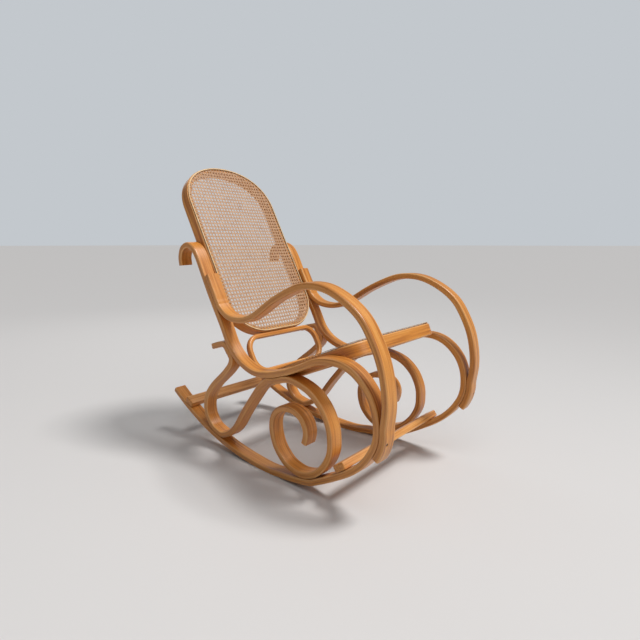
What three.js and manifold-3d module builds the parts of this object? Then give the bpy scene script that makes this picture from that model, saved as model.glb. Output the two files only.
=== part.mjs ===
// A bentwood rocking chair: two side frames of flat bent beech strips, a caned back hoop,
// a caned seat hoop and an oval ring between them, and two stretchers on the runners.
// Millimetres, +Z up. The sitter faces -Y, and the chair's right side is at -X.
// The origin is on the floor, in the middle of the chair.
import * as THREE from 'three';
import { mergeGeometries, mergeVertices } from 'three/addons/utils/BufferGeometryUtils.js';
import Module from 'manifold-3d';

const wasm = await Module();
wasm.setup();

// The strips that the chair is bent from, and how closely the pieces fit.
const stripWidth = 43;
const stripThickness = 19;
const fitGap = 0.3;
const bendStep = 9; // degrees of bend between two cross sections
const runStep = 70; // the longest run between two cross sections
const overrun = 5; // how far a cut runs past the face that it starts from

// The side frame, seen from the side: depth behind the resting point, height above the floor.
const frameDepth = 908;
const frameHeight = 684;
const runnerRadius = 905;
const runnerStep = 34;
const runnerAhead = 190;
const runnerBehind = 492;
const runnerWear = 0.6; // how much is worn flat under the runner at its inner edge

// The back hoop leans by the rake. The side frames turn out towards the front by the splay.
const rake = 28.4; // degrees
const splay = 3.7; // degrees
const backWidth = 391;
const backLength = 647;
const backDepth = 40;
const backCornerWide = 134;
const backCornerHigh = 124;
const backArchHigh = 158;
const backPlace = 146;
const backBottom = 394;
const backProud = 5; // how far the caned face stands before the uprights

// The oval ring between the back hoop and the seat hoop.
const ringWidth = 342;
const ringThickness = 16;
const ringDepth = 20;
const ringCorner = 57;
const ringSetBack = 3;

// The seat hoop slopes down to the back.
const seatPitch = 23.2; // degrees
const seatDepth = 38;
const seatLength = 472;
const seatFront = 321;
const seatFrontHeight = 443;
const seatFrontCorner = 62;
const seatRearCorner = 110;
const seatFit = 0.5;

// The woven cane, its reed at the rim, and the coarser net that stands for the weave here.
const caneThickness = 2;
const caneInset = 3;
const caneBorder = 20;
const netPitch = 38.1;
const netHole = 24;
const splineWidth = 4;
const splineHeight = 1.6;

// The stretchers.
const stretcherWide = 38;
const stretcherThick = 21;
const frontStretcherPlace = 316;
const rearStretcherPlace = 412;

// The countersunk wood screws.
const screwHead = 8.4;
const screwHeadDeep = 3.2;
const screwShank = 4.2;
const screwPoint = 4;
const screwSunk = 0.6;
const screwSides = 6;
const stripBite = 12; // how far a screw goes into the second strip
const ringBite = 9;
const armScrewInset = 12;
const ringScrewPlace = 42;
const seatScrewPlaces = [70, 220]; // before the resting point
const backScrewPlaces = [197, 282]; // up the back from its bottom

// Shares of the frame's depth and height, chosen by hand along the middle of each strip.
const upperShares = [
  [0.432, 0.899], [0.434, 0.939], [0.419, 0.980], [0.382, 1], [0.347, 0.981], [0.324, 0.944],
  [0.299, 0.881], [0.256, 0.771], [0.190, 0.620], [0.158, 0.540], [0.114, 0.486], [0.048, 0.451],
  [-0.003, 0.448], [-0.100, 0.477], [-0.189, 0.525], [-0.255, 0.562], [-0.310, 0.573],
  [-0.352, 0.570], [-0.386, 0.554], [-0.413, 0.529], [-0.434, 0.500], [-0.449, 0.470],
  [-0.461, 0.430], [-0.466, 0.395], [-0.4675, 0.350], [-0.461, 0.305], [-0.4465, 0.264],
  [-0.4205, 0.217], [-0.382, 0.170], [-0.323, 0.120], [-0.259, 0.073],
];
const armTopShare = [0.286, 0.849];
const armLeavesShare = [0.262, 0.790];
const armShares = [
  [0.217, 0.731], [0.168, 0.683], [0.115, 0.671], [0.062, 0.680], [0.010, 0.710],
  [-0.055, 0.763], [-0.113, 0.803], [-0.199, 0.845], [-0.277, 0.847], [-0.348, 0.814],
  [-0.415, 0.751], [-0.457, 0.667], [-0.480, 0.594], [-0.492, 0.519], [-0.4955, 0.450],
];
const armMeetsShare = [-0.4675, 0.368];
const armEndShare = [-0.4465, 0.264];
const armScrewShare = [-0.466, 0.325];
const scrollShares = [
  [0.258, 0.523], [0.228, 0.535], [0.197, 0.545], [0.177, 0.542], [0.164, 0.525], [0.153, 0.484],
  [0.159, 0.457], [0.177, 0.430], [0.208, 0.393], [0.250, 0.350], [0.287, 0.307], [0.315, 0.260],
  [0.326, 0.215], [0.328, 0.184], [0.322, 0.152], [0.300, 0.113], [0.274, 0.091], [0.242, 0.082],
  [0.204, 0.097], [0.173, 0.123], [0.143, 0.163], [0.116, 0.212], [0.088, 0.261], [0.060, 0.306],
  [0.034, 0.347], [0.008, 0.385],
];
const railMeetsShare = [-0.030, 0.453];
const railButtShare = [-0.062, 0.463];
const railLeavesShare = [-0.100, 0.477];
const spiralShares = [
  [-0.138, 0.459], [-0.168, 0.454], [-0.198, 0.444], [-0.227, 0.428], [-0.251, 0.405],
  [-0.273, 0.374], [-0.288, 0.340], [-0.299, 0.300], [-0.3025, 0.257], [-0.300, 0.210],
  [-0.286, 0.165], [-0.262, 0.122], [-0.227, 0.085], [-0.178, 0.065], [-0.142, 0.068],
  [-0.112, 0.081], [-0.086, 0.107], [-0.064, 0.143], [-0.051, 0.190], [-0.0485, 0.234],
  [-0.055, 0.270], [-0.072, 0.301], [-0.095, 0.322], [-0.119, 0.331], [-0.143, 0.332],
  [-0.166, 0.324], [-0.185, 0.308], [-0.198, 0.285], [-0.2035, 0.257], [-0.202, 0.234],
  [-0.195, 0.206],
];
const armScrewTopShare = [0.275, 0.821];
const scrollScrewShare = [0.164, 0.525];
const scrollFootShare = [0.242, 0.082];
const spiralFootShare = [-0.178, 0.065];
const scrollRailShare = [-0.047, 0.458];
const spiralRailShare = [-0.081, 0.470];
const cornerHandleShare = 0.552; // of a corner's radius, for a round corner
const archHandleShare = 0.6;

const beech = new THREE.MeshStandardMaterial({ color: 0xc98a3c, roughness: 0.38, metalness: 0 });
const cane = new THREE.MeshStandardMaterial({ color: 0xdcc19c, roughness: 0.6, metalness: 0 });
const reed = new THREE.MeshStandardMaterial({ color: 0xe8d3ae, roughness: 0.5, metalness: 0 });
const steel = new THREE.MeshStandardMaterial({ color: 0x4a3f35, roughness: 0.45, metalness: 0.8 });

const radians = THREE.MathUtils.degToRad;
const clearance = stripThickness + fitGap; // between the middles of two strips that touch
const sideways = new THREE.Matrix4().makeBasis(
  new THREE.Vector3(0, 1, 0), new THREE.Vector3(0, 0, 1), new THREE.Vector3(1, 0, 0),
);

// Closed meshes to solids and back, for cutting.
function toSolid(geometry) {
  const bare = geometry.index ? geometry.toNonIndexed() : geometry.clone();
  bare.deleteAttribute('normal');
  bare.deleteAttribute('uv');
  const merged = mergeVertices(bare);
  const corners = [];
  for (let i = 0; i < merged.index.count; i += 3) {
    const [a, b, c] = merged.index.array.slice(i, i + 3);
    if (a !== b && b !== c && c !== a) corners.push(a, b, c);
  }
  return new wasm.Manifold(new wasm.Mesh({
    numProp: 3,
    vertProperties: new Float32Array(merged.attributes.position.array),
    triVerts: new Uint32Array(corners),
  }));
}

function toGeometry(solid) {
  const mesh = solid.getMesh();
  const geometry = new THREE.BufferGeometry();
  geometry.setAttribute('position', new THREE.BufferAttribute(mesh.vertProperties, 3));
  geometry.setIndex(new THREE.BufferAttribute(mesh.triVerts, 1));
  geometry.computeVertexNormals();
  return geometry;
}

// Takes shapes that stand in the chair out of a piece.
function cutBy(piece, shapes) {
  const toPiece = piece.matrixWorld.clone().invert();
  let solid = toSolid(piece.geometry);
  for (const shape of shapes) solid = solid.subtract(toSolid(shape.clone().applyMatrix4(toPiece)));
  piece.geometry = toGeometry(solid);
}

// A bent strip's middle line is a list of stations: a place and the direction there.
function alongCurve(points, first = 0, last = points.length - 1) {
  const curve = new THREE.CatmullRomCurve3(points, false, 'centripetal');
  const steps = 24;
  const station = (t) => ({ at: curve.getPoint(t), along: curve.getTangent(t) });
  const stations = [station(first / (points.length - 1))];
  let bend = 0;
  let run = 0;
  let before = stations[0];
  for (let i = first * steps + 1; i < last * steps; i += 1) {
    const here = station(i / steps / (points.length - 1));
    bend += here.along.angleTo(before.along);
    run += here.at.distanceTo(before.at);
    before = here;
    if (bend > radians(bendStep) || run > runStep) {
      stations.push(here);
      bend = 0;
      run = 0;
    }
  }
  stations.push(station(last / (points.length - 1)));
  return stations;
}

const leftOf = (along) => new THREE.Vector3(-along.y, along.x, 0);
const inFrame = ([depth, height]) =>
  new THREE.Vector3(depth * frameDepth, height * frameHeight, 0);

// The stations of a strip that is clamped beside another, on its left (+1) or right (-1).
function beside(stations, side) {
  return stations.map(({ at, along }) => ({
    at: at.clone().addScaledVector(leftOf(along), side * clearance),
    along: along.clone(),
  }));
}

// The station of a strip that is nearest to a place given in shares.
function nearest(stations, share) {
  const place = inFrame(share);
  return stations.reduce((best, station, index) =>
    (station.at.distanceTo(place) < stations[best].at.distanceTo(place) ? index : best), 0);
}

// The last point of a strip's middle line at a depth, with the chord that it lies on.
function atDepth(stations, depth) {
  const index = stations.findLastIndex(({ at }, i) =>
    i > 0 && (at.x - depth) * (stations[i - 1].at.x - depth) <= 0);
  const from = stations[index - 1].at;
  const to = stations[index].at;
  const at = from.clone().lerp(to, (depth - from.x) / (to.x - from.x));
  return { at, along: to.clone().sub(from).normalize() };
}

// The point of a strip's middle line that is nearest to a place, and the direction there.
function footOn(stations, place) {
  let best = null;
  for (let i = 1; i < stations.length; i += 1) {
    const run = new THREE.Line3(stations[i - 1].at, stations[i].at);
    const share = run.closestPointToPointParameter(place, true);
    const at = run.at(share, new THREE.Vector3());
    if (!best || at.distanceTo(place) < best.at.distanceTo(place)) {
      const along = stations[i - 1].along.clone().lerp(stations[i].along, share).normalize();
      best = { at, along, index: i };
    }
  }
  return best;
}

// Adds a station to a strip where it passes nearest to a place given in shares.
function mark(stations, share) {
  const { at, along, index } = footOn(stations, inFrame(share));
  if (Math.min(at.distanceTo(stations[index - 1].at), at.distanceTo(stations[index].at)) > fitGap) {
    stations.splice(index, 0, { at, along });
  }
}

// Pushes the stations that would enter another strip out to where the two touch.
function clearOf(stations, other) {
  return stations.map(({ at, along }) => {
    const foot = footOn(other, at);
    if (foot.at.distanceTo(at) >= clearance) return { at, along };
    const away = at.clone().sub(foot.at).setLength(clearance);
    return { at: foot.at.clone().add(away), along };
  });
}

// A strip as a solid: its side outline, extruded over its width, which runs outwards.
function stripSolid(stations, side) {
  const half = stripThickness / 2;
  const edge = (way) => stations.map(({ at, along }) =>
    at.clone().addScaledVector(leftOf(along), way * half));
  const outline = [...edge(-1), ...edge(1).reverse()];
  const shape = new THREE.Shape(outline.map(({ x, y }) => new THREE.Vector2(x, y)));
  const solid = new THREE.ExtrudeGeometry(shape, { depth: stripWidth, bevelEnabled: false });
  solid.translate(0, 0, side < 0 ? -stripWidth : 0);
  return solid.applyMatrix4(sideways);
}

// The main strip: hook, upright, seat rail, front leg and runner.
const runnerMiddle = runnerRadius - stripThickness / 2;
function onRunner(angle) {
  return {
    at: new THREE.Vector3(
      runnerMiddle * Math.sin(angle), runnerRadius - runnerWear - runnerMiddle * Math.cos(angle), 0,
    ),
    along: new THREE.Vector3(Math.cos(angle), Math.sin(angle), 0),
  };
}
const runnerFrom = -Math.asin(runnerAhead / runnerMiddle);
const runnerTo = Math.asin(runnerBehind / runnerMiddle);
const runnerFacets = Math.round((runnerTo - runnerFrom) * runnerMiddle / runnerStep);
const runnerStations = [];
for (let i = 0; i <= runnerFacets; i += 1) {
  runnerStations.push(onRunner(runnerFrom + (runnerTo - runnerFrom) * i / runnerFacets));
}
const upperPoints = [...upperShares.map(inFrame), runnerStations[0].at, runnerStations[1].at];
const upperStations = alongCurve(upperPoints, 0, upperPoints.length - 2);
const mainStations = [...upperStations.slice(0, -1), ...runnerStations];
const touchShares = [
  armTopShare, armLeavesShare, armMeetsShare, armEndShare,
  railMeetsShare, railButtShare, railLeavesShare,
];
for (const share of touchShares) mark(mainStations, share);

// The arm strip follows the upright's front, swings over, and follows the leg's front.
const armTop = nearest(mainStations, armTopShare);
const armLeaves = nearest(mainStations, armLeavesShare);
const armMeets = nearest(mainStations, armMeetsShare);
const armEnd = nearest(mainStations, armEndShare);
const onUpright = beside(mainStations.slice(armTop, armLeaves + 1), -1);
const onLeg = beside(mainStations.slice(armMeets, armEnd + 1), -1);
const armPoints = [
  onUpright.at(-2).at, onUpright.at(-1).at, ...armShares.map(inFrame), onLeg[0].at, onLeg[1].at,
];
const armBend = alongCurve(armPoints, 1, armPoints.length - 2);
const armStations = [
  ...onUpright.slice(0, -1), ...clearOf(armBend, mainStations), ...onLeg.slice(1),
];

// Where the scroll and the spiral lie under the seat rail, end to end.
const railMeets = nearest(mainStations, railMeetsShare);
const railButt = nearest(mainStations, railButtShare);
const railLeaves = nearest(mainStations, railLeavesShare);
const underRail = (from, to) => beside(mainStations.slice(from, to + 1), 1);

// The rear scroll.
const scrollEnd = underRail(railMeets, railButt);
const scrollPoints = [...scrollShares.map(inFrame), scrollEnd[0].at, scrollEnd[1].at];
const scrollBend = alongCurve(scrollPoints, 0, scrollPoints.length - 2);
const scrollStations = [...clearOf(scrollBend.slice(0, -1), mainStations), ...scrollEnd];

// The front spiral.
const spiralStart = underRail(railButt, railLeaves);
spiralStart[0].at.addScaledVector(spiralStart[0].along, 2 * fitGap);
const spiralPoints = [spiralStart.at(-2).at, spiralStart.at(-1).at, ...spiralShares.map(inFrame)];
const spiralBend = alongCurve(spiralPoints, 1);
const spiralStations = [...spiralStart, ...clearOf(spiralBend.slice(1), mainStations)];

const chair = new THREE.Group();
const sides = { right: -1, left: 1 };

function addPiece(name, geometry, material, parent) {
  const piece = new THREE.Mesh(geometry, material);
  piece.name = name;
  parent.add(piece);
  return piece;
}

// The side frames turn about a line up the back, where they meet the back hoop.
const rakeUp = new THREE.Vector3(0, Math.sin(radians(rake)), Math.cos(radians(rake)));
const rakeFront = new THREE.Vector3(0, -Math.cos(radians(rake)), Math.sin(radians(rake)));
const backOrigin = new THREE.Vector3(0, backPlace, backBottom);
const caneFloor = caneThickness + fitGap;
const hingeLine = backOrigin.clone().addScaledVector(rakeFront, -backDepth - caneFloor);
const frames = {};
for (const [side, way] of Object.entries(sides)) {
  const turned = new THREE.Group();
  turned.position.copy(hingeLine).setX(way * (backWidth / 2 + fitGap));
  turned.quaternion.setFromAxisAngle(rakeUp, way * radians(splay));
  const frame = new THREE.Group();
  frame.position.copy(hingeLine).negate();
  turned.add(frame);
  chair.add(turned);
  frames[side] = frame;
}

const pieces = {};
for (const [side, way] of Object.entries(sides)) {
  const strips = {
    main_strip: mainStations, arm: armStations,
    rear_scroll: scrollStations, front_spiral: spiralStations,
  };
  for (const [name, stations] of Object.entries(strips)) {
    pieces[`${side}_${name}`] = addPiece(`${side}_${name}`, stripSolid(stations, way), beech,
      frames[side]);
  }
}

// Half the space between the side frames at a depth and a height.
function halfSpace(depth, height) {
  const forward = new THREE.Vector3(0, depth, height).sub(hingeLine).dot(rakeFront);
  return backWidth / 2 + fitGap + Math.tan(radians(splay)) * forward;
}

// A closed outline with four rounded corners, symmetrical about x = 0.
// The corners run from the lower right one; wide and high are their extents along x and y.
function roundedOutline(low, high, inset = 0) {
  const shape = new THREE.Shape();
  const bottom = low.at + inset;
  const top = high.at - inset;
  const slope = (high.half - low.half) / (high.at - low.at);
  const halfAt = (y) => low.half + slope * (y - low.at) - inset;
  const lowWide = low.wide - inset;
  const lowTall = low.tall - inset;
  const highWide = high.wide - inset;
  const highTall = high.tall - inset;
  const lowFar = 1 - low.handleShare;
  const highFar = 1 - high.handleShare;
  const lowHalf = halfAt(bottom);
  const highHalf = halfAt(top);
  shape.moveTo(-(lowHalf - lowWide), bottom);
  shape.lineTo(lowHalf - lowWide, bottom);
  shape.bezierCurveTo(
    lowHalf - lowWide * lowFar, bottom,
    halfAt(bottom + lowTall * lowFar), bottom + lowTall * lowFar,
    halfAt(bottom + lowTall), bottom + lowTall,
  );
  shape.lineTo(halfAt(top - highTall), top - highTall);
  shape.bezierCurveTo(
    halfAt(top - highTall * highFar), top - highTall * highFar,
    highHalf - highWide * highFar, top,
    highHalf - highWide, top,
  );
  shape.lineTo(-(highHalf - highWide), top);
  shape.bezierCurveTo(
    -(highHalf - highWide * highFar), top,
    -halfAt(top - highTall * highFar), top - highTall * highFar,
    -halfAt(top - highTall), top - highTall,
  );
  shape.lineTo(-halfAt(bottom + lowTall), bottom + lowTall);
  shape.bezierCurveTo(
    -halfAt(bottom + lowTall * lowFar), bottom + lowTall * lowFar,
    -(lowHalf - lowWide * lowFar), bottom,
    -(lowHalf - lowWide), bottom,
  );
  return shape;
}

// A hoop: the ring between an outline and the same outline moved in, facing +z at z = 0.
const curveSegments = 9;
function hoopSolid(low, high, thickness, depth, inset = 0) {
  const shape = roundedOutline(low, high, inset);
  shape.holes.push(roundedOutline(low, high, inset + thickness));
  return extruded(shape, depth);
}

function extruded(shape, depth) {
  const solid = new THREE.ExtrudeGeometry(shape, { depth, curveSegments, bevelEnabled: false });
  return solid.translate(0, 0, -depth);
}

// A panel with square holes, all of them inside its solid border.
function netSolid(low, high, depth, inset) {
  const field = roundedOutline(low, high, caneBorder + stripThickness).getPoints(curveSegments);
  const inside = (x, y) => {
    let within = false;
    field.forEach((here, index) => {
      const next = field[(index + 1) % field.length];
      const crosses = (here.y > y) !== (next.y > y);
      if (crosses && x < here.x + (next.x - here.x) * (y - here.y) / (next.y - here.y)) {
        within = !within;
      }
    });
    return within;
  };
  const columns = Math.floor(Math.max(low.half, high.half) / netPitch);
  const rows = Math.floor((high.at - low.at) / netPitch / 2);
  const middle = (low.at + high.at) / 2;
  const half = netHole / 2;
  const gaps = [];
  for (let row = -rows; row <= rows; row += 1) {
    for (let column = -columns; column <= columns; column += 1) {
      const x = column * netPitch;
      const y = middle + row * netPitch;
      const corners = [[x - half, y - half], [x - half, y + half], [x + half, y + half],
        [x + half, y - half]];
      if (corners.every(([across, up]) => inside(across, up))) {
        gaps.push(new THREE.BoxGeometry(netHole, netHole, 3 * depth).translate(x, y, 0));
      }
    }
  }
  const plate = toSolid(extruded(roundedOutline(low, high, inset), depth));
  return toGeometry(plate.subtract(toSolid(mergeGeometries(gaps))));
}

// The back: x across, y up the rake, z to the front.
const back = new THREE.Group();
back.position.copy(backOrigin);
back.rotation.x = radians(90 - rake);
chair.add(back);
const backLow = {
  at: 0, half: backWidth / 2, wide: backCornerWide, tall: backCornerHigh,
  handleShare: cornerHandleShare,
};
const backHigh = {
  at: backLength, half: backWidth / 2, wide: backWidth / 2, tall: backArchHigh,
  handleShare: archHandleShare,
};
pieces.back_hoop = addPiece('back_hoop',
  hoopSolid(backLow, backHigh, stripThickness, backDepth), beech, back);
pieces.back_cane = addPiece('back_cane',
  netSolid(backLow, backHigh, caneThickness, caneInset), cane, back);
pieces.back_spline = addPiece('back_spline',
  hoopSolid(backLow, backHigh, splineWidth, splineHeight, caneInset), reed, back);
pieces.back_hoop.position.z = -caneFloor;
pieces.back_spline.position.z = splineHeight + fitGap;

// The seat: x across, y from its front to its rear, z up from its caned face.
const seat = new THREE.Group();
seat.position.set(0, -seatFront, seatFrontHeight);
seat.rotation.x = -radians(seatPitch);
chair.add(seat);
function seatHalf(along) {
  const low = new THREE.Vector3(0, along, -seatDepth - caneFloor).applyEuler(seat.rotation);
  low.add(seat.position);
  return halfSpace(low.y, low.z) - seatFit;
}
const seatLow = {
  at: 0, half: seatHalf(0), wide: seatFrontCorner, tall: seatFrontCorner,
  handleShare: cornerHandleShare,
};
const seatHigh = {
  at: seatLength, half: seatHalf(seatLength), wide: seatRearCorner, tall: seatRearCorner,
  handleShare: cornerHandleShare,
};
pieces.seat_hoop = addPiece('seat_hoop',
  hoopSolid(seatLow, seatHigh, stripThickness, seatDepth), beech, seat);
pieces.seat_cane = addPiece('seat_cane',
  netSolid(seatLow, seatHigh, caneThickness, caneInset), cane, seat);
pieces.seat_spline = addPiece('seat_spline',
  hoopSolid(seatLow, seatHigh, splineWidth, splineHeight, caneInset), reed, seat);
pieces.seat_hoop.position.z = -caneFloor;
pieces.seat_spline.position.z = splineHeight + fitGap;

// The oval ring hangs between the back hoop's bottom and the seat's rear rim.
const ring = new THREE.Group();
ring.position.z = -ringSetBack;
back.add(ring);
const seatUp = new THREE.Vector3(0, Math.sin(radians(seatPitch)), Math.cos(radians(seatPitch)));
const ringRear = backOrigin.clone().addScaledVector(rakeFront, -ringSetBack - ringDepth);
const seatTop = seat.position.clone().addScaledVector(seatUp, splineHeight + fitGap);
const ringFall = ringRear.sub(seatTop).dot(seatUp) / rakeUp.dot(seatUp);
const ringHigh = {
  at: -fitGap, half: ringWidth / 2, wide: ringCorner, tall: ringCorner,
  handleShare: cornerHandleShare,
};
const ringLow = { ...ringHigh, at: fitGap - ringFall };
pieces.oval_ring = addPiece('oval_ring',
  hoopSolid(ringLow, ringHigh, ringThickness, ringDepth), beech, ring);

// A stretcher lies across both runners. Their tops are hollow, so it rests on its two edges.
const toYZ = (at, x = 0) => new THREE.Vector3(x, at.x, at.y);
chair.updateMatrixWorld(true);
function addStretcher(name, depth) {
  const edges = [depth - stretcherWide / 2, depth + stretcherWide / 2].map((place) => {
    const { at, along } = atDepth(mainStations, place);
    return frames.left.localToWorld(toYZ(at.addScaledVector(leftOf(along), stripThickness / 2)));
  });
  const slope = Math.atan2(edges[1].z - edges[0].z, edges[1].y - edges[0].y);
  const up = new THREE.Vector3(0, -Math.sin(slope), Math.cos(slope));
  const middle = edges[0].clone().lerp(edges[1], 0.5);
  middle.addScaledVector(up, fitGap + stretcherThick / 2);
  const long = 2 * (halfSpace(middle.y, middle.z) + stripWidth);
  const piece = addPiece(name, new THREE.BoxGeometry(long, stretcherWide, stretcherThick), beech,
    chair);
  piece.position.set(0, middle.y, middle.z);
  piece.rotation.x = slope;
  pieces[name] = piece;
  return atDepth(mainStations, depth);
}
const frontFoot = addStretcher('front_stretcher', -frontStretcherPlace);
const rearFoot = addStretcher('rear_stretcher', rearStretcherPlace);

// A screw points along its own +z from its head's face, with the hole that holds it.
function screwShape(length, gap) {
  const head = screwHead / 2 + gap;
  const shank = screwShank / 2 + gap;
  const deep = screwHeadDeep + gap;
  const profile = [
    [0, gap ? -overrun : 0], [head, gap ? -overrun : 0], [head, gap], [shank, deep],
    [shank, length - screwPoint + gap], [0, length + gap],
  ];
  if (!gap) profile.splice(2, 1);
  const solid = new THREE.LatheGeometry(profile.map(([r, z]) => new THREE.Vector2(r, z)),
    screwSides);
  return solid.rotateX(Math.PI / 2);
}

const holes = {};
function addScrew(name, parent, place, direction, length, through) {
  const screw = addPiece(name, screwShape(length, 0), steel, parent);
  screw.position.copy(place).addScaledVector(direction, screwSunk);
  screw.quaternion.setFromUnitVectors(new THREE.Vector3(0, 0, 1), direction);
  chair.updateMatrixWorld(true);
  const hole = screwShape(length, fitGap).applyMatrix4(screw.matrixWorld);
  for (const piece of through) holes[piece] = [...holes[piece] ?? [], hole];
}

for (const [side, way] of Object.entries(sides)) {
  const frame = frames[side];
  const across = way * stripWidth / 2;
  const named = (name) => `${side}_${name}`;
  // From one face of a strip straight through it into the strip that it touches.
  const clamp = (name, strip, share, facing, into, x = across, bite = stripBite) => {
    const foot = footOn(strip, inFrame(share));
    const inwards = leftOf(foot.along).multiplyScalar(facing);
    const head = foot.at.clone().addScaledVector(inwards, -stripThickness / 2);
    addScrew(named(name), frame, toYZ(head, x), toYZ(inwards), stripThickness + bite, into);
  };
  clamp('arm_top_screw', mainStations, armScrewTopShare, -1,
    [named('main_strip'), named('arm')]);
  clamp('arm_front_screw', armStations, armScrewShare, 1,
    [named('arm'), named('main_strip')], way * (stripWidth - armScrewInset));
  clamp('scroll_upright_screw', scrollStations, scrollScrewShare, -1,
    [named('rear_scroll'), named('main_strip')]);
  clamp('scroll_foot_screw', mainStations, scrollFootShare, 1,
    [named('main_strip'), named('rear_scroll')]);
  clamp('spiral_foot_screw', mainStations, spiralFootShare, 1,
    [named('main_strip'), named('front_spiral')]);
  clamp('scroll_rail_screw', scrollStations, scrollRailShare, -1,
    [named('rear_scroll'), named('main_strip')]);
  clamp('spiral_rail_screw', spiralStations, spiralRailShare, -1,
    [named('front_spiral'), named('main_strip')]);
  for (const [name, foot] of Object.entries({ front: frontFoot, rear: rearFoot })) {
    const up = leftOf(foot.along);
    const head = foot.at.clone().addScaledVector(up, -stripThickness / 2);
    addScrew(named(`${name}_stretcher_screw`), frame, toYZ(head, across),
      toYZ(up), stripThickness + stripBite, [named('main_strip'), `${name}_stretcher`]);
  }
  // From inside a hoop sideways into the strip that it lies against.
  const outwards = new THREE.Vector3(way, 0, 0);
  seatScrewPlaces.forEach((place, index) => {
    const foot = atDepth(mainStations.slice(0, armMeets), -place);
    const inner = toYZ(foot.at, -way * (stripThickness + seatFit));
    addScrew(named(`seat_screw_${index + 1}`), frame, inner, outwards, stripThickness + stripBite,
      ['seat_hoop', named('main_strip')]);
  });
  backScrewPlaces.forEach((place, index) => {
    const inner = backOrigin.clone().addScaledVector(rakeUp, place)
      .addScaledVector(rakeFront, -backProud - stripThickness / 2);
    inner.x = -way * (stripThickness + fitGap);
    addScrew(named(`back_screw_${index + 1}`), frame, inner, outwards, stripThickness + stripBite,
      ['back_hoop', named('main_strip')]);
  });
  // The ring's screws go up into the back hoop and down into the seat hoop.
  const up = new THREE.Vector3(0, 1, 0);
  const middle = -ringDepth / 2;
  const top = new THREE.Vector3(way * ringScrewPlace, ringHigh.at - ringThickness, middle);
  addScrew(named('ring_top_screw'), ring, top, up, ringThickness + ringBite,
    ['oval_ring', 'back_hoop']);
  const foot = new THREE.Vector3(way * ringScrewPlace, ringLow.at + ringThickness, middle);
  addScrew(named('ring_foot_screw'), ring, foot, up.clone().negate(), ringThickness + stripBite,
    ['oval_ring', 'seat_cane', 'seat_hoop']);
}

// The runners are worn flat where they rest.
const floor = new THREE.BoxGeometry(2 * frameDepth, 2 * frameDepth, frameDepth);
floor.translate(0, 0, -frameDepth / 2);
for (const side of Object.keys(sides)) holes[`${side}_main_strip`].push(floor);
for (const [name, shapes] of Object.entries(holes)) cutBy(pieces[name], shapes);

// The origin stands in the middle of the chair's depth.
const bounds = new THREE.Box3().setFromObject(chair, true);
chair.position.y = -(bounds.min.y + bounds.max.y) / 2;

export default chair;
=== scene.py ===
import math
import random

import bpy
import numpy as np
from mathutils import Matrix, Vector
from mathutils.bvhtree import BVHTree
from mathutils.geometry import interpolate_bezier


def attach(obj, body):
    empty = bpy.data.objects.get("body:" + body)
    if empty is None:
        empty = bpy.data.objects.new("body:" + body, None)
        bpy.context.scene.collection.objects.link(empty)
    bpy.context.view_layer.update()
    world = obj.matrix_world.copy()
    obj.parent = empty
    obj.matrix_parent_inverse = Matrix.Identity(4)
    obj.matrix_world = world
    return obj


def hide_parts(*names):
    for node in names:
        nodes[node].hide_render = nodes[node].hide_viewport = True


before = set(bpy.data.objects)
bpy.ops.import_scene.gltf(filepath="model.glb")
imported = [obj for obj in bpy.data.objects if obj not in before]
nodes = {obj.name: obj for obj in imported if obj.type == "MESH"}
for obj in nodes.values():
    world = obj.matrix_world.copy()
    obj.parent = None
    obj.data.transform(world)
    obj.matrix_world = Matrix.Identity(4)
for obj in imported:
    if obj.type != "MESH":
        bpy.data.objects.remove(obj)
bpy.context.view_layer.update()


# Selecting, finishing and colouring, for all pieces.
def deselectAll():
    for thing in list(bpy.context.selected_objects):
        thing.select_set(False)


def pick(piece):
    deselectAll()
    piece.select_set(True)
    bpy.context.view_layer.objects.active = piece


def finishWith(piece, kind, **settings):
    pick(piece)
    modifier = piece.modifiers.new(kind, kind)
    for name, value in settings.items():
        setattr(modifier, name, value)
    bpy.ops.object.modifier_apply(modifier=modifier.name)


def smoothUpTo(piece, degrees):
    pick(piece)
    bpy.ops.object.shade_smooth_by_angle(angle=math.radians(degrees))


def place(piece, matrix):
    piece.matrix_world = matrix
    pick(piece)
    bpy.ops.object.transform_apply(location=True, rotation=True, scale=True)


# An sRGB hex colour, turned to linear by the sRGB curve.
def linear(hexColour):
    channels = [int(hexColour[i:i + 2], 16) / 255 for i in (1, 3, 5)]
    return [c / 12.92 if c <= 0.04045 else ((c + 0.055) / 1.055) ** 2.4 for c in channels] + [1]


def addNode(tree, kind, inputs=None, **settings):
    node = tree.nodes.new("ShaderNode" + kind)
    for name, value in settings.items():
        setattr(node, name, value)
    for name, value in (inputs or {}).items():
        if isinstance(value, bpy.types.NodeSocket):
            tree.links.new(value, node.inputs[name])
        else:
            node.inputs[name].default_value = value
    return node


def newMaterial(name):
    material = bpy.data.materials.new(name)
    material.use_nodes = True
    tree = material.node_tree
    return material, tree, tree.nodes["Principled BSDF"]


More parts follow.
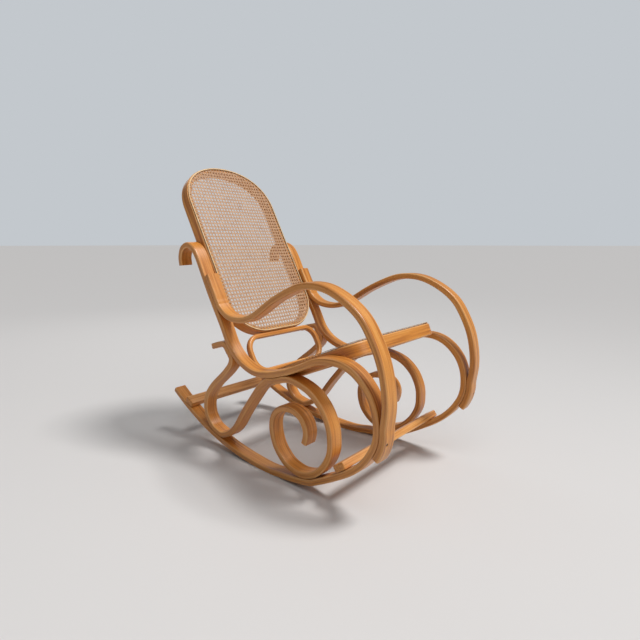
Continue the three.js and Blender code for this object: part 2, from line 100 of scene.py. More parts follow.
# Beech, steam bent and sprayed with a honey lacquer: long soft streaks run with the bend, short
# dark flecks show through, and the edges carry a pale line, partly lacquer rubbed thin and partly
# a painted highlight.
# Real flecks are about half this size; they are drawn coarser so that they show.
beech = {
    "deep": "#A25E22", "middle": "#CB8233", "light": "#DE9D4E", "fleck": "#744014",
    # The pale edge colour stands for worn lacquer and also for a painted highlight on the rounded
    # edges.
    "wornAndHighlight": "#E3B47C",
    "deepAt": 0.34, "middleAt": 0.5, "lightAt": 0.68,
    "streakSize": (0.18, 0.006), "streakDetail": 5,
    "cloudSize": (0.30, 0.05), "cloudDetail": 2,
    "fleckSize": (0.004, 0.0006), "fleckDetail": 1,
    "cloudRange": (0.35, 0.65), "cloudMost": 0.55,
    "fleckRange": (0.60, 0.72), "fleckMost": 0.38,
    "wornAndHighlightRange": (0.12, 0.36), "wornAndHighlightMost": 0.5,
    "roughRange": (0.3, 0.7), "roughLow": 0.34, "roughHigh": 0.50,
    "coat": 0.22, "coatRough": 0.22, "grainDeep": 0.00012, "grainStrength": 0.35, "ior": 1.5,
}


def makeBeech():
    material, tree, shader = newMaterial("lacqueredBeech")
    grain = addNode(tree, "Attribute", attribute_name="grain").outputs["Vector"]
    edge = addNode(tree, "Attribute", attribute_name="edge").outputs["Fac"]
    patterns = {}
    for name in ("streak", "cloud", "fleck"):
        long, wide = beech[name + "Size"]
        spread = addNode(tree, "Mapping", {
            "Vector": grain, "Scale": (1 / long, 1 / wide, 1 / wide),
        }).outputs["Vector"]
        patterns[name] = addNode(tree, "TexNoise", {
            "Vector": spread, "Scale": 1, "Detail": beech[name + "Detail"],
        }).outputs["Fac"]
    tones = addNode(tree, "ValToRGB", {"Fac": patterns["streak"]})
    ramp = tones.color_ramp.elements
    ramp[0].position = beech["deepAt"]
    ramp[0].color = linear(beech["deep"])
    ramp[1].position = beech["lightAt"]
    ramp[1].color = linear(beech["light"])
    ramp.new(beech["middleAt"]).color = linear(beech["middle"])
    # Where the pale edge line shows: worn lacquer and a painted highlight along the rounded
    # edges, broken by the streaks.
    wornAndHighlightMask = addNode(tree, "Math", {
        0: edge, 1: patterns["streak"],
    }, operation="MULTIPLY").outputs[0]
    # Each layer covers the one before: where it shows, and its colour. The last is the pale edge
    # line, worn lacquer and painted highlight.
    colour = tones.outputs["Color"]
    for name, where, tone in (("cloud", patterns["cloud"], "middle"),
                              ("fleck", patterns["fleck"], "fleck"),
                              ("wornAndHighlight", wornAndHighlightMask, "wornAndHighlight")):
        low, high = beech[name + "Range"]
        share = addNode(tree, "MapRange", {
            "Value": where, "From Min": low, "From Max": high,
            "To Min": 0, "To Max": beech[name + "Most"],
        }).outputs["Result"]
        colour = addNode(tree, "Mix", {
            0: share, 6: colour, 7: linear(beech[tone]),
        }, data_type="RGBA").outputs[2]
    tree.links.new(colour, shader.inputs["Base Color"])
    low, high = beech["roughRange"]
    rough = addNode(tree, "MapRange", {
        "Value": patterns["streak"], "From Min": low, "From Max": high,
        "To Min": beech["roughLow"], "To Max": beech["roughHigh"],
    }).outputs["Result"]
    tree.links.new(rough, shader.inputs["Roughness"])
    bump = addNode(tree, "Bump", {
        "Height": patterns["fleck"], "Strength": beech["grainStrength"],
        "Distance": beech["grainDeep"],
    }).outputs["Normal"]
    tree.links.new(bump, shader.inputs["Normal"])
    shader.inputs["IOR"].default_value = beech["ior"]
    shader.inputs["Coat Weight"].default_value = beech["coat"]
    shader.inputs["Coat Roughness"].default_value = beech["coatRough"]
    return material


# Rattan peel, split and woven bare: each strand has its own tan tone, a few darker stains and
# fine fibres along it, and a dull gloss. The reed is split from the same cane and paler. The
# fibres are drawn coarser than real ones, so that they show.
rattan = {
    "cane": {"pale": "#CBA37C", "deep": "#A07350", "stain": "#744A2C"},
    "reed": {"pale": "#E6C79C", "deep": "#CFA873", "stain": "#A87B4E"},
    "toneStep": 3.7, "toneRange": (0.7, 1.3), "detail": 2,
    "stainLong": 0.05, "stainRange": (0.62, 0.8), "stainMost": 0.5,
    "fibreLong": 0.02, "fibreWide": 0.0005, "fibreDeep": 0.00008, "fibreStrength": 0.4,
    "rough": 0.48, "ior": 1.5,
}


def makeRattan(name, colours):
    material, tree, shader = newMaterial(name)
    grain = addNode(tree, "Attribute", attribute_name="grain").outputs["Vector"]
    long, wide, number = addNode(tree, "SeparateXYZ", {"Vector": grain}).outputs
    strand = addNode(tree, "Math", {0: number, 1: rattan["toneStep"]}, operation="MULTIPLY")
    spots = addNode(tree, "Math", {0: long, 1: rattan["stainLong"]}, operation="DIVIDE")
    along = addNode(tree, "CombineXYZ", {"X": spots.outputs[0], "Y": strand.outputs[0]})
    tone = addNode(tree, "TexNoise", {
        "Vector": along.outputs["Vector"], "Scale": 1, "Detail": rattan["detail"],
    }).outputs["Fac"]
    fibreScale = (1 / rattan["fibreLong"], 1 / rattan["fibreWide"], rattan["toneStep"])
    spread = addNode(tree, "Mapping", {"Vector": grain, "Scale": fibreScale})
    fibres = addNode(tree, "TexNoise", {
        "Vector": spread.outputs["Vector"], "Scale": 1, "Detail": rattan["detail"],
    }).outputs["Fac"]
    both = addNode(tree, "Math", {0: tone, 1: fibres}, operation="ADD").outputs[0]
    low, high = rattan["toneRange"]
    share = addNode(tree, "MapRange", {
        "Value": both, "From Min": low, "From Max": high,
    }).outputs["Result"]
    colour = addNode(tree, "Mix", {
        0: share, 6: linear(colours["pale"]), 7: linear(colours["deep"]),
    }, data_type="RGBA").outputs[2]
    low, high = rattan["stainRange"]
    stained = addNode(tree, "MapRange", {
        "Value": tone, "From Min": low, "From Max": high,
        "To Min": 0, "To Max": rattan["stainMost"],
    }).outputs["Result"]
    finished = addNode(tree, "Mix", {
        0: stained, 6: colour, 7: linear(colours["stain"]),
    }, data_type="RGBA").outputs[2]
    tree.links.new(finished, shader.inputs["Base Color"])
    bump = addNode(tree, "Bump", {
        "Height": fibres, "Strength": rattan["fibreStrength"], "Distance": rattan["fibreDeep"],
    }).outputs["Normal"]
    tree.links.new(bump, shader.inputs["Normal"])
    shader.inputs["Roughness"].default_value = rattan["rough"]
    shader.inputs["IOR"].default_value = rattan["ior"]
    return material


# Steel screws, oxidised dark, with brighter metal showing through in small spots.
steel = {
    "dark": "#3B322B", "bright": "#8A7C6C", "grit": 0.0012, "gritDetail": 3,
    "roughLow": 0.3, "roughHigh": 0.55, "metallic": 0.9,
}


def makeSteel():
    material, tree, shader = newMaterial("oxidisedSteel")
    coordinates = addNode(tree, "TexCoord").outputs["Object"]
    grit = addNode(tree, "TexNoise", {
        "Vector": coordinates, "Scale": 1 / steel["grit"], "Detail": steel["gritDetail"],
    }).outputs["Fac"]
    colour = addNode(tree, "Mix", {
        0: grit, 6: linear(steel["dark"]), 7: linear(steel["bright"]),
    }, data_type="RGBA").outputs[2]
    tree.links.new(colour, shader.inputs["Base Color"])
    rough = addNode(tree, "MapRange", {
        "Value": grit, "To Min": steel["roughLow"], "To Max": steel["roughHigh"],
    }).outputs["Result"]
    tree.links.new(rough, shader.inputs["Roughness"])
    shader.inputs["Metallic"].default_value = steel["metallic"]
    return material


materials = {
    "beech": makeBeech(),
    "cane": makeRattan("wovenRattan", rattan["cane"]),
    "reed": makeRattan("rattanReed", rattan["reed"]),
    "screw": makeSteel(),
}
print("stage: materials")


# The camera, at the photograph's place and angle.
view = {
    "place": (-1.1857, -1.0351, 0.6865), "towards": (0.7584, 0.6326, -0.1567),
    "lens": 27, "sensor": 36, "nearest": 0.01,
}


def makeCamera():
    deselectAll()
    bpy.ops.object.camera_add(location=view["place"])
    camera = bpy.context.object
    camera.name = "camera"
    camera.rotation_euler = Vector(view["towards"]).to_track_quat("-Z", "Y").to_euler()
    camera.data.sensor_width = view["sensor"]
    camera.data.lens = view["lens"]
    camera.data.clip_start = view["nearest"]
    bpy.context.scene.camera = camera


makeCamera()


# A plain pale floor, an even pale surround and soft studio lamps.
studio = {
    "floorSize": 400, "floor": "#CFCCCA", "floorRough": 0.85, "floorNoise": 9,
    "floorDetail": 6, "floorDeep": 0.001, "floorStrength": 0.05,
    "surround": "#C3C8CD", "ambient": 0.33,
    "sun": {"at": (0, 0, 3), "towards": (-0.30, 0.42, -1), "strength": 2.5, "spread": 16},
    "lamps": {
        "overhead": {"at": (-0.7, -0.9, 2.6), "size": 1.6, "power": 16},
        "frontFill": {"at": (0.6, -3.0, 1.5), "size": 1.8, "power": 14},
        "rearFill": {"at": (1.2, 2.6, 2.2), "size": 1.8, "power": 8},
    },
    "aim": (0, 0, 0.45),
}


def makeStudio():
    deselectAll()
    bpy.ops.mesh.primitive_plane_add(size=studio["floorSize"], location=(0, 0, 0))
    floor = bpy.context.object
    floor.name = "floor"
    material, tree, shader = newMaterial("paleFloorPaint")
    coordinates = addNode(tree, "TexCoord").outputs["Object"]
    soft = addNode(tree, "TexNoise", {
        "Vector": coordinates, "Scale": studio["floorNoise"], "Detail": studio["floorDetail"],
    }).outputs["Fac"]
    bump = addNode(tree, "Bump", {
        "Height": soft, "Strength": studio["floorStrength"], "Distance": studio["floorDeep"],
    }).outputs["Normal"]
    tree.links.new(bump, shader.inputs["Normal"])
    shader.inputs["Base Color"].default_value = linear(studio["floor"])
    shader.inputs["Roughness"].default_value = studio["floorRough"]
    floor.data.materials.append(material)
    for name, lamp in studio["lamps"].items():
        bpy.ops.object.light_add(type="AREA", location=lamp["at"])
        light = bpy.context.object
        light.name = name
        light.data.size = lamp["size"]
        light.data.energy = lamp["power"]
        towards = Vector(studio["aim"]) - Vector(lamp["at"])
        light.rotation_euler = towards.to_track_quat("-Z", "Y").to_euler()
    bpy.ops.object.light_add(type="SUN", location=studio["sun"]["at"])
    sun = bpy.context.object
    sun.name = "softSun"
    sun.data.energy = studio["sun"]["strength"]
    sun.data.angle = math.radians(studio["sun"]["spread"])
    sun.rotation_euler = Vector(studio["sun"]["towards"]).to_track_quat("-Z", "Y").to_euler()
    # The camera sees the surround at full strength; the chair is lit by less of it.
    world = bpy.data.worlds.new("surround")
    bpy.context.scene.world = world
    world.use_nodes = True
    tree = world.node_tree
    background = tree.nodes["Background"]
    ray = addNode(tree, "LightPath").outputs["Is Camera Ray"]
    strength = addNode(tree, "MapRange", {
        "Value": ray, "To Min": studio["ambient"], "To Max": 1,
    }).outputs["Result"]
    background.inputs["Color"].default_value = linear(studio["surround"])
    tree.links.new(strength, background.inputs["Strength"])
    bpy.context.scene.view_settings.view_transform = "Standard"


makeStudio()
print("stage: camera and studio")


# How the CAD meshes are read. The first three are cosines.
reading = {
    "facing": 0.95, "sameWay": 0.99999, "sideways": 0.5,
    "sameHeight": 5e-5, "sameThickness": 0.0004, "cornersPerMetre": 1e5,
    "squareTurn": 70, "longRun": 2.2, "parallel": 1e-12, "edgeSlack": 1e-9,
}


def pairsAround(loop):
    return zip(loop, loop[1:] + loop[:1])


# A node's flat face that looks a given way: its plane, and its outlines as loops on that plane,
# the longest first.
def flatFace(node, towards):
    mesh = nodes[node].data
    places = np.array([v.co for v in mesh.vertices], float)
    corners = np.array([face.vertices[:] for face in mesh.polygons])
    triangles = places[corners]
    cross = np.cross(triangles[:, 1] - triangles[:, 0], triangles[:, 2] - triangles[:, 0])
    area = np.linalg.norm(cross, axis=1)
    facing = cross @ np.array(towards, float) > reading["facing"] * area
    largest = (area * facing).argmax()
    normal = cross[largest] / area[largest]
    facing = cross @ normal > reading["sameWay"] * area
    height = triangles.mean(1) @ normal
    top = height[facing].max()
    chosen = facing & (height > top - reading["sameHeight"]) & (area > 0)
    outward = Vector(normal)
    across = Vector((1, 0, 0)) if abs(normal[0]) < reading["sideways"] else Vector((0, 1, 0))
    across = (across - outward * across.dot(outward)).normalized()
    up = outward.cross(across)
    # An edge that two triangles share runs both ways and drops out, so the outlines are left.
    spots = {}
    edges = {}
    for triangle in triangles[chosen]:
        ring = [tuple(np.round(p * reading["cornersPerMetre"]).astype(int)) for p in triangle]
        for key, p in zip(ring, triangle):
            spots.setdefault(key, p)
        for a, b in pairsAround(ring):
            if (b, a) in edges:
                del edges[(b, a)]
            else:
                edges[(a, b)] = True
    after = {a: b for a, b in edges}
    loops = []
    while after:
        start = next(iter(after))
        loop = [start]
        here = after.pop(start)
        while here != start:
            loop.append(here)
            here = after.pop(here)
        points = [Vector(spots[key]) for key in loop]
        loops.append([Vector((p.dot(across), p.dot(up))) for p in points])
    loops.sort(key=lambda loop: -sum((a - b).length for a, b in pairsAround(loop)))
    turn = Matrix((across, up, outward)).transposed().to_4x4()
    return {"turn": turn, "top": top, "loops": loops, "outward": outward}


# The place of a plane that lies this deep under a face.
def planeAt(face, depth):
    return Matrix.Translation(face["outward"] * (face["top"] - depth)) @ face["turn"]


# The middle line of a bent strip, from the outline of its side: points with their directions.
def stripLine(outline, thickness):
    count = len(outline)

    def turnAt(i):
        before = outline[i % count] - outline[i - 1]
        return abs(before.angle_signed(outline[(i + 1) % count] - outline[i % count]))

    # An end is an edge as long as the strip is thick, with a square corner before and after it.
    square = math.radians(reading["squareTurn"])
    firstEnd, lastEnd = [
        i for i in range(count) if min(turnAt(i), turnAt(i + 1)) > square and
        abs((outline[(i + 1) % count] - outline[i]).length - thickness) < reading["sameThickness"]
    ]
    chains = [[outline[i % count] for i in range(firstEnd + 1, lastEnd + 1)],
              [outline[i % count] for i in range(lastEnd + 1, firstEnd + count + 1)]]
    chains.sort(key=lambda chain: -min(p.y for p in chain))
    # A station is where a point of one side has its partner straight across the strip.
    line = []
    for here in chains[0]:
        other = min(chains[1], key=lambda p: (p - here).length)
        if abs((other - here).length - thickness) < reading["sameThickness"]:
            sideways = (here - other).normalized()
            line.append([(here + other) / 2, Vector((-sideways.y, sideways.x))])
    for i, (point, direction) in enumerate(line):
        ahead = line[i + 1][0] - point if i + 1 < len(line) else point - line[i - 1][0]
        if ahead.dot(direction) < 0:
            line[i][1] = -direction
    return line


# The middle line of a closed hoop, between its two outlines. Where a straight run meets a bend,
# the line keeps the direction of the run.
def hoopLine(outer, inner):
    inner = inner[::-1]
    start = min(range(len(inner)), key=lambda i: (inner[i] - outer[0]).length)
    inner = inner[start:] + inner[:start]
    points = [(a + b) / 2 for a, b in zip(outer, inner)]
    line = []
    for i, here in enumerate(points):
        before = here - points[i - 1]
        ahead = points[(i + 1) % len(points)] - here
        behind, beyond = before.length, ahead.length
        if behind > reading["longRun"] * beyond:
            direction = before
        elif beyond > reading["longRun"] * behind:
            direction = ahead
        else:
            direction = before * (beyond / behind) + ahead * (behind / beyond)
        line.append([here, direction.normalized()])
    return line


# How bent wood is swept and finished. The wood of two pieces is cut this far apart in the grain.
bends = {
    "stepsPerStation": 6, "samplesPerStation": 9, "weld": 1e-5,
    "edgeRound": 0.0045, "edgeSteps": 4, "edgeHold": 0.0008, "leastFlat": 1e-4,
    "endBevel": 0.0025, "endSteps": 3, "endAngle": 60, "smooth": 35,
    # How far in from an edge the pale line of worn lacquer and painted highlight reaches.
    "wornAndHighlightReach": 0.006, "apart": 9.0, "atOnce": 4000, "firstHoop": 20,
}


# A rounded rectangle as a curve, to be swept: thickness along x, width along y. A short edge
# before and after each rounded corner keeps the shading of the flats even.
def makeSection(thickness, width, radius, steps):
    radius = min(radius, thickness / 2 - bends["leastFlat"], width / 2 - bends["leastFlat"])
    points = []
    for sx, sy, start in ((1, 1, 0), (-1, 1, 90), (-1, -1, 180), (1, -1, 270)):
        middle = Vector((sx * (thickness / 2 - radius), sy * (width / 2 - radius)))
        first = math.radians(start)
        arc = [first + math.pi / 2 * i / steps for i in range(steps + 1)]
        arcPoints = [middle + radius * Vector((math.cos(a), math.sin(a))) for a in arc]
        hold = bends["edgeHold"]
        lead = Vector((-math.sin(arc[0]), math.cos(arc[0]))) * hold
        trail = Vector((-math.sin(arc[-1]), math.cos(arc[-1]))) * hold
        points += [arcPoints[0] - lead, *arcPoints, arcPoints[-1] + trail]
    deselectAll()
    bpy.ops.curve.primitive_bezier_circle_add()
    section = bpy.context.object
    section.data.splines.clear()
    spline = section.data.splines.new("POLY")
    spline.points.add(len(points) - 1)
    for point, where in zip(spline.points, points):
        point.co = (where.x, where.y, 0, 1)
    spline.use_cyclic_u = True
    return section


# Sweeps a section along a middle line in a plane, and makes it a mesh in its place. The samples
# are places along the middle line.
def sweep(name, line, matrix, section, closed):
    deselectAll()
    bpy.ops.curve.primitive_bezier_curve_add()
    piece = bpy.context.object
    piece.name = name
    curve = piece.data
    curve.splines.clear()
    curve.dimensions = "2D"
    curve.fill_mode = "NONE"
    spline = curve.splines.new("BEZIER")
    spline.bezier_points.add(len(line) - 1)
    spline.use_cyclic_u = closed
    curve.resolution_u = bends["stepsPerStation"]
    samples = []
    count = len(line)
    for i, (point, direction) in enumerate(line):
        bezier = spline.bezier_points[i]
        bezier.handle_left_type = bezier.handle_right_type = "FREE"
        behind = (point - line[i - 1][0]).length / 3
        ahead = (line[(i + 1) % count][0] - point).length / 3
        bezier.co = point.to_3d()
        bezier.handle_left = (point - direction * behind).to_3d()
        bezier.handle_right = (point + direction * ahead).to_3d()
    for i in range(count if closed else count - 1):
        a, b = spline.bezier_points[i], spline.bezier_points[(i + 1) % count]
        samples += interpolate_bezier(a.co, a.handle_right, b.handle_left, b.co,
                                      bends["samplesPerStation"])[:-1]
    samples.append(spline.bezier_points[0 if closed else -1].co.copy())
    curve.bevel_mode = "OBJECT"
    curve.bevel_object = section
    curve.use_fill_caps = not closed
    pick(piece)
    bpy.ops.object.convert(target="MESH")
    piece = bpy.context.object
    finishWith(piece, "WELD", merge_threshold=bends["weld"])
    place(piece, matrix)
    pick(piece)
    bpy.ops.object.mode_set(mode="EDIT")
    bpy.ops.mesh.select_all(action="SELECT")
    bpy.ops.mesh.normals_make_consistent(inside=False)
    bpy.ops.object.mode_set(mode="OBJECT")
    return piece, np.array([s[:2] for s in samples])


# Writes where each corner of a piece lies in its wood, along the bend, across it and through it,
# and how near it is to an edge, for the pale line of worn lacquer and painted highlight. A
# piece's number gives it wood of its own.
def writeGrain(piece, matrix, samples, half, number, closed=False):
    mesh = piece.data
    inverse = np.array(matrix.inverted(), float)
    count = len(mesh.vertices)
    flat = np.empty(count * 3)
    mesh.vertices.foreach_get("co", flat)
    local = flat.reshape(-1, 3) @ inverse[:3, :3].T + inverse[:3, 3]
    starts, ends = samples[:-1], samples[1:]
    runs = ends - starts
    lengths = np.maximum(np.linalg.norm(runs, axis=1), 1e-9)
    before = np.concatenate(([0], np.cumsum(lengths)[:-1]))
    along = np.empty(count)
    through = np.empty(count)
    for first in range(0, count, bends["atOnce"]):
        some = slice(first, first + bends["atOnce"])
        part = local[some, None, :2] - starts[None]
        share = np.clip((part * runs).sum(2) / lengths ** 2, 0, 1)
        gap = np.linalg.norm(part - share[:, :, None] * runs, axis=2)
        best = gap.argmin(1)
        row = np.arange(len(best))
        along[some] = before[best] + share[row, best] * lengths[best]
        sideways = part[row, best, 0] * runs[best, 1] - part[row, best, 1] * runs[best, 0]
        through[some] = sideways / lengths[best]
    corner = np.empty(len(mesh.loops), int)
    mesh.loops.foreach_get("vertex_index", corner)
    values = np.stack((along, local[:, 2], through), axis=1)[corner]
    # A face on the seam of a closed hoop counts on past the full length.
    if closed:
        total = lengths.sum()
        for face in mesh.polygons:
            span = slice(face.loop_start, face.loop_start + face.loop_total)
            runIn = values[span, 0]
            if runIn.max() - runIn.min() > total / 2:
                values[span, 0] = np.where(runIn < total / 2, runIn + total, runIn)
    # Near the edges the wood gets its pale line, partly worn lacquer and partly a painted
    # highlight.
    inward = half[1] - np.abs(values[:, 1]) + half[0] - np.abs(values[:, 2])
    edge = np.clip(1 - inward / bends["wornAndHighlightReach"], 0, 1)
    values[:, 0] += number * bends["apart"]
    grain = mesh.attributes.new("grain", "FLOAT_VECTOR", "CORNER")
    grain.data.foreach_set("vector", values.astype(np.float32).ravel())
    wornAndHighlight = mesh.attributes.new("edge", "FLOAT", "CORNER")
    wornAndHighlight.data.foreach_set("value", edge.astype(np.float32))


# Gives a finished piece its material, hides the nodes it stands for and hangs it on the root
# body.
def settle(piece, slot, *replaced):
    piece.data.materials.clear()
    piece.data.materials.append(materials[slot])
    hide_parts(*replaced)
    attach(piece, "root")


# The wood screws: a countersunk head with a slot, sunk a little. The same place gives the hole.
screws = {
    "head": 0.0042, "headDeep": 0.0032, "rim": 0.0003, "shank": 0.0021, "neck": 0.0064,
    "point": 0.004, "sides": 24, "smooth": 30,
    "slotLong": 0.0126, "slotWide": 0.0010, "slotDeep": 0.0012, "slotTurn": 35,
    "room": 0.00025, "clear": 0.006, "headFlat": 1e-4,
}


# Where a screw's head lies, which way the screw points and how long it is, from the CAD's screw.
def screwPlace(node):
    mesh = nodes[node].data
    places = np.unique(np.round([v.co[:] for v in mesh.vertices], 6), axis=0)
    middle = places.mean(0)
    axis = np.linalg.svd(places - middle)[2][0]
    height = (places - middle) @ axis
    radius = np.linalg.norm(places - middle - height[:, None] * axis, axis=1)
    if height[radius.argmax()] > 0:
        axis, height = -axis, -height
    onHead = height < height.min() + screws["headFlat"]
    head = Vector(places[onHead].mean(0))
    length = height.max() - height.min()
    turn = Vector(axis).to_track_quat("Z", "Y").to_matrix().to_4x4()
    return Matrix.Translation(head) @ turn, length


# A profile of radius and height, spun round the z axis.
def lathe(name, profile):
    deselectAll()
    bpy.ops.mesh.primitive_plane_add(size=1)
    piece = bpy.context.object
    piece.name = name
    mesh = piece.data
    mesh.clear_geometry()
    mesh.from_pydata([(r, 0, z) for r, z in profile],
                     [(i, i + 1) for i in range(len(profile) - 1)], [])
    bpy.ops.object.mode_set(mode="EDIT")
    bpy.ops.mesh.select_all(action="SELECT")
    bpy.ops.mesh.spin(steps=screws["sides"], angle=2 * math.pi, center=(0, 0, 0), axis=(0, 0, 1))
    bpy.ops.mesh.select_all(action="SELECT")
    bpy.ops.mesh.remove_doubles(threshold=bends["weld"])
    bpy.ops.mesh.normals_make_consistent(inside=False)
    bpy.ops.object.mode_set(mode="OBJECT")
    return piece


def makeHoles():
    cutters = []
    for node in sorted(nodes):
        if "screw" not in node:
            continue
        matrix, length = screwPlace(node)
        room = screws["room"]
        wide = screws["head"] + room
        thin = screws["shank"] + room
        cutter = lathe("hole", [
            (0, -screws["clear"]), (wide, -screws["clear"]), (wide, room),
            (thin, screws["headDeep"] + room), (thin, length - screws["point"]),
            (0, length + room),
        ])
        place(cutter, matrix)
        cutters.append(cutter)
    return cutters


cutters = makeHoles()
cutterTrees = [BVHTree.FromPolygons([v.co for v in c.data.vertices],
                                    [p.vertices[:] for p in c.data.polygons]) for c in cutters]


# Cuts the holes of the screws that meet a piece.
def drill(piece):
    tree = BVHTree.FromPolygons([v.co for v in piece.data.vertices],
                                [p.vertices[:] for p in piece.data.polygons])
    met = [c for c, t in zip(cutters, cutterTrees) if tree.overlap(t)]
    for cutter in met:
        finishWith(piece, "BOOLEAN", object=cutter, operation="DIFFERENCE", solver="MANIFOLD")
    return len(met)


print("stage: screw holes ready")


# The side frames: four bent strips on each side, all of one section.
strip = {
    "thickness": 0.019, "width": 0.043,
    "kinds": ("main_strip", "arm", "rear_scroll", "front_spiral"),
}


def makeStrips():
    section = makeSection(strip["thickness"], strip["width"], bends["edgeRound"],
                          bends["edgeSteps"])
    number = 0
    for side, way in (("right", -1), ("left", 1)):
        for kind in strip["kinds"]:
            node = f"{side}_{kind}"
            face = flatFace(node, (way, 0, 0))
            line = stripLine(face["loops"][0], strip["thickness"])
            matrix = planeAt(face, strip["width"] / 2)
            piece, samples = sweep(f"{node}_bent", line, matrix, section, False)
            finishWith(piece, "BEVEL", width=bends["endBevel"], segments=bends["endSteps"],
                       limit_method="ANGLE", angle_limit=math.radians(bends["endAngle"]))
            # The runner is worn flat where it stands on the floor.
            if kind == "main_strip":
                pick(piece)
                bpy.ops.object.mode_set(mode="EDIT")
                bpy.ops.mesh.select_all(action="SELECT")
                bpy.ops.mesh.bisect(plane_co=(0, 0, 0), plane_no=(0, 0, 1), use_fill=True,
                                    clear_inner=True)
                bpy.ops.object.mode_set(mode="OBJECT")
            met = drill(piece)
            number += 1
            writeGrain(piece, matrix, samples, (strip["thickness"] / 2, strip["width"] / 2),
                       number)
            smoothUpTo(piece, bends["smooth"])
            settle(piece, "beech", node)
            print(node, len(line), "stations", len(piece.data.polygons), "faces", met, "holes")
    bpy.data.objects.remove(section)


makeStrips()
print("stage: side frames")


# Which way the back and the seat face.
leanTowards = {"back": (0, -0.88, 0.476), "seat": (0, 0.394, 0.919)}


# The back hoop, the seat hoop and the oval ring: closed loops of bent wood.
hoops = {
    "back_hoop": {"towards": leanTowards["back"], "thickness": 0.019, "width": 0.040,
                  "round": 0.0045},
    "seat_hoop": {"towards": leanTowards["seat"], "thickness": 0.019, "width": 0.038,
                  "round": 0.0045},
    "oval_ring": {"towards": leanTowards["back"], "thickness": 0.016, "width": 0.020,
                  "round": 0.0060},
}


def makeHoops():
    for number, (node, hoop) in enumerate(hoops.items()):
        face = flatFace(node, hoop["towards"])
        line = hoopLine(face["loops"][0], face["loops"][1])
        matrix = planeAt(face, hoop["width"] / 2)
        section = makeSection(hoop["thickness"], hoop["width"], hoop["round"],
                              bends["edgeSteps"])
        piece, samples = sweep(f"{node}_bent", line, matrix, section, True)
        bpy.data.objects.remove(section)
        met = drill(piece)
        writeGrain(piece, matrix, samples, (hoop["thickness"] / 2, hoop["width"] / 2),
                   number + bends["firstHoop"], True)
        smoothUpTo(piece, bends["smooth"])
        settle(piece, "beech", node)
        print(node, len(line), "stations", len(piece.data.polygons), "faces", met, "holes")


makeHoops()
print("stage: hoops")


# The cane: pairs of strands up and across, woven over and under each other, and a strand each way
# along the diagonals, which leave an eight-sided hole in each square.
cane = {
    "pitch": 0.0127, "pairHalf": 0.00105, "straight": 0.0017, "diagonal": 0.0022,
    "crown": 0.0004, "weave": 0.00022, "cross": 0.0006, "depth": 0.001, "hem": 0.0015,
    "shortest": 0.006, "closest": 1e-4, "narrowest": 0.92, "widest": 1.06, "smooth": 50,
    "panels": {"back_cane": leanTowards["back"], "seat_cane": leanTowards["seat"]},
}


# Where a line enters and leaves a convex outline.
def spanInside(outline, start, direction):
    hits = []
    for a, b in pairsAround(outline):
        edge = b - a
        turn = direction.x * edge.y - direction.y * edge.x
        if abs(turn) < reading["parallel"]:
            continue
        gap = a - start
        alongEdge = (gap.x * direction.y - gap.y * direction.x) / turn
        if -reading["edgeSlack"] <= alongEdge <= 1 + reading["edgeSlack"]:
            hits.append((gap.x * edge.y - gap.y * edge.x) / turn)
    return (min(hits), max(hits)) if len(hits) > 1 else None


# The four families of strands: where each lies, which way it runs, its width and its levels.
def strandsOf(outline):
    pitch, half = cane["pitch"], cane["pairHalf"]
    low = Vector((min(p.x for p in outline), min(p.y for p in outline)))
    high = Vector((max(p.x for p in outline), max(p.y for p in outline)))
    middle = (low + high) / 2
    reach = int(((high - low).length) / pitch) + 2
    for i in range(-reach, reach + 1):
        for side in (-1, 1):
            # Up the panel, then across it: a level for each of the two crossings in a square.
            levels = [(-half, side * cane["weave"]), (half, -side * cane["weave"]),
                      (pitch / 2, 0)]
            yield (middle + Vector((i * pitch + side * half, 0)), Vector((0, 1)),
                   cane["straight"], pitch, [(at, -z) for at, z in levels])
            yield (middle + Vector((0, i * pitch + side * half)), Vector((1, 0)),
                   cane["straight"], pitch, levels)
        for way in (1, -1):
            # A diagonal passes the middles of the squares' sides, over one pair, under the next.
            step = pitch / math.sqrt(2)
            yield (middle + Vector((0, (i + 0.5) * pitch)), Vector((1, way)).normalized(),
                   cane["diagonal"], 2 * step,
                   [(0, -way * cane["cross"]), (step, way * cane["cross"])])


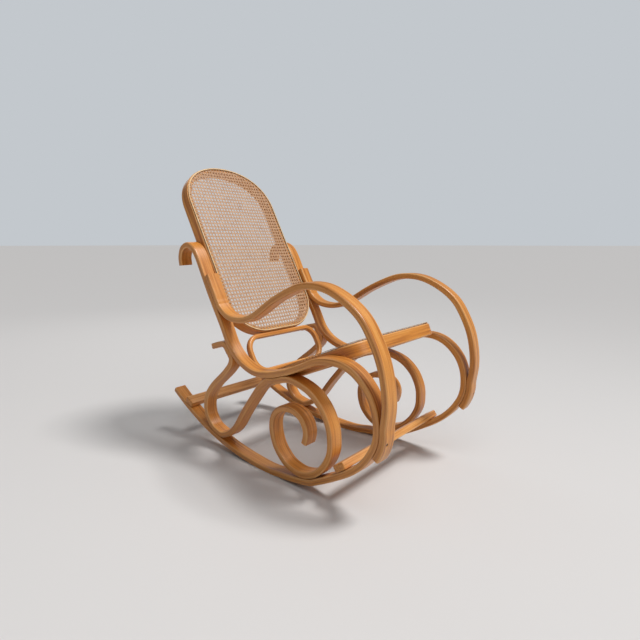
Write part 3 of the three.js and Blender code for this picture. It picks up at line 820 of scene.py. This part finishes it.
# A panel of strands, each a low ridge with a closed underside.
def makePanel(node, towards, number):
    face = flatFace(node, towards)
    outline = face["loops"][0]
    matrix = planeAt(face, cane["depth"])
    random.seed(number)
    vertices, faces, grain = [], [], []
    strandNumber = 0
    for start, direction, wide, period, levels in strandsOf(outline):
        span = spanInside(outline, start, direction)
        if not span or span[1] - span[0] < cane["shortest"]:
            continue
        low, high = span[0] + cane["hem"], span[1] - cane["hem"]
        stops = []
        first = math.floor(low / period) - 1
        last = math.ceil(high / period) + 1
        for turn in range(first, last + 1):
            stops += [(turn * period + at, z) for at, z in levels]
        stops.sort()
        gap = cane["closest"]
        inside = [stop for stop in stops if low + gap < stop[0] < high - gap]
        stops = [(low, 0), *inside, (high, 0)]
        strandNumber += 1
        width = wide * random.uniform(cane["narrowest"], cane["widest"])
        sideways = Vector((-direction.y, direction.x)) * (width / 2)
        base = len(vertices)
        for at, z in stops:
            here = start + direction * at
            left, right = here + sideways, here - sideways
            lift = z - cane["crown"] / 2
            vertices += [(left.x, left.y, lift), (here.x, here.y, lift + cane["crown"]),
                         (right.x, right.y, lift)]
            grain += [(at, -width / 2, strandNumber), (at, 0, strandNumber),
                      (at, width / 2, strandNumber)]
        for i in range(len(stops) - 1):
            a = base + 3 * i
            b = a + 3
            faces += [(a, a + 1, b + 1, b), (a + 1, a + 2, b + 2, b + 1), (a + 2, a, b, b + 2)]
        end = base + 3 * (len(stops) - 1)
        faces += [(base, base + 2, base + 1), (end, end + 1, end + 2)]
    deselectAll()
    bpy.ops.mesh.primitive_plane_add(size=1)
    piece = bpy.context.object
    piece.name = f"{node}_woven"
    mesh = piece.data
    mesh.clear_geometry()
    mesh.from_pydata(vertices, [], faces)
    attribute = mesh.attributes.new("grain", "FLOAT_VECTOR", "POINT")
    attribute.data.foreach_set("vector", np.array(grain, np.float32).ravel())
    bpy.ops.object.mode_set(mode="EDIT")
    bpy.ops.mesh.select_all(action="SELECT")
    bpy.ops.mesh.normals_make_consistent(inside=False)
    bpy.ops.object.mode_set(mode="OBJECT")
    place(piece, matrix)
    smoothUpTo(piece, cane["smooth"])
    settle(piece, "cane", node)
    print(node, strandNumber, "strands", len(faces), "faces")


for panelNumber, (panel, panelTowards) in enumerate(cane["panels"].items()):
    makePanel(panel, panelTowards, panelNumber + 1)
print("stage: cane")


# The reed that holds each panel at the rim.
reed = {"width": 0.004, "height": 0.0016, "round": 0.00075, "steps": 3, "smooth": 50}


def makeReeds():
    for number, (node, towards) in enumerate((("back_spline", leanTowards["back"]),
                                               ("seat_spline", leanTowards["seat"]))):
        face = flatFace(node, towards)
        line = hoopLine(face["loops"][0], face["loops"][1])
        matrix = planeAt(face, reed["height"] / 2)
        section = makeSection(reed["width"], reed["height"], reed["round"], reed["steps"])
        piece, samples = sweep(f"{node}_reed", line, matrix, section, True)
        bpy.data.objects.remove(section)
        writeGrain(piece, matrix, samples, (reed["width"] / 2, reed["height"] / 2), number, True)
        smoothUpTo(piece, reed["smooth"])
        settle(piece, "reed", node)


makeReeds()
print("stage: reeds")


# The two stretchers: flat boards with softened edges.
stretchers = {
    "thickness": 0.021, "round": 0.0032, "steps": 3, "firstNumber": 30,
    "towards": {"front_stretcher": (0, 0.35, 0.94), "rear_stretcher": (0, -0.45, 0.89)},
}


def makeStretchers():
    for number, (node, towards) in enumerate(stretchers["towards"].items()):
        face = flatFace(node, towards)
        outline = face["loops"][0]
        lowX, highX = min(p.x for p in outline), max(p.x for p in outline)
        lowY, highY = min(p.y for p in outline), max(p.y for p in outline)
        matrix = planeAt(face, stretchers["thickness"] / 2)
        deselectAll()
        bpy.ops.mesh.primitive_cube_add(size=1)
        piece = bpy.context.object
        piece.name = f"{node}_board"
        piece.scale = (highX - lowX, highY - lowY, stretchers["thickness"])
        piece.location = ((lowX + highX) / 2, (lowY + highY) / 2, 0)
        bpy.ops.object.transform_apply(location=True, rotation=True, scale=True)
        place(piece, matrix)
        finishWith(piece, "BEVEL", width=stretchers["round"], segments=stretchers["steps"])
        drill(piece)
        samples = np.array([[lowX, (lowY + highY) / 2], [highX, (lowY + highY) / 2]])
        writeGrain(piece, matrix, samples, ((highY - lowY) / 2, stretchers["thickness"] / 2),
                   number + stretchers["firstNumber"])
        smoothUpTo(piece, bends["smooth"])
        settle(piece, "beech", node)


makeStretchers()
print("stage: stretchers")


# One screw is modelled; each other one is a copy, drawn out to its length and put in its place.
def makeScrews():
    slotted = lathe("screw", [
        (0, 0), (screws["head"] - screws["rim"], 0), (screws["head"], screws["rim"]),
        (screws["shank"], screws["headDeep"]), (screws["shank"], screws["neck"]),
        (0, screws["neck"] + screws["point"]),
    ])
    deselectAll()
    bpy.ops.mesh.primitive_cube_add(size=1)
    slot = bpy.context.object
    slot.scale = (screws["slotLong"], screws["slotWide"], 2 * screws["slotDeep"])
    slot.rotation_euler.z = math.radians(screws["slotTurn"])
    bpy.ops.object.transform_apply(location=True, rotation=True, scale=True)
    finishWith(slotted, "BOOLEAN", object=slot, operation="DIFFERENCE", solver="MANIFOLD")
    bpy.data.objects.remove(slot)
    shortLength = screws["neck"] + screws["point"]
    for node in sorted(nodes):
        if "screw" not in node:
            continue
        matrix, length = screwPlace(node)
        pick(slotted)
        bpy.ops.object.duplicate()
        screw = bpy.context.object
        screw.name = f"{node}_slotted"
        for vertex in screw.data.vertices:
            if vertex.co.z > (screws["headDeep"] + screws["neck"]) / 2:
                vertex.co.z += length - shortLength
        place(screw, matrix)
        smoothUpTo(screw, screws["smooth"])
        settle(screw, "screw", node)
    bpy.data.objects.remove(slotted)
    for cutter in cutters:
        bpy.data.objects.remove(cutter)


makeScrews()
print("stage: screws")

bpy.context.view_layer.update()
deselectAll()
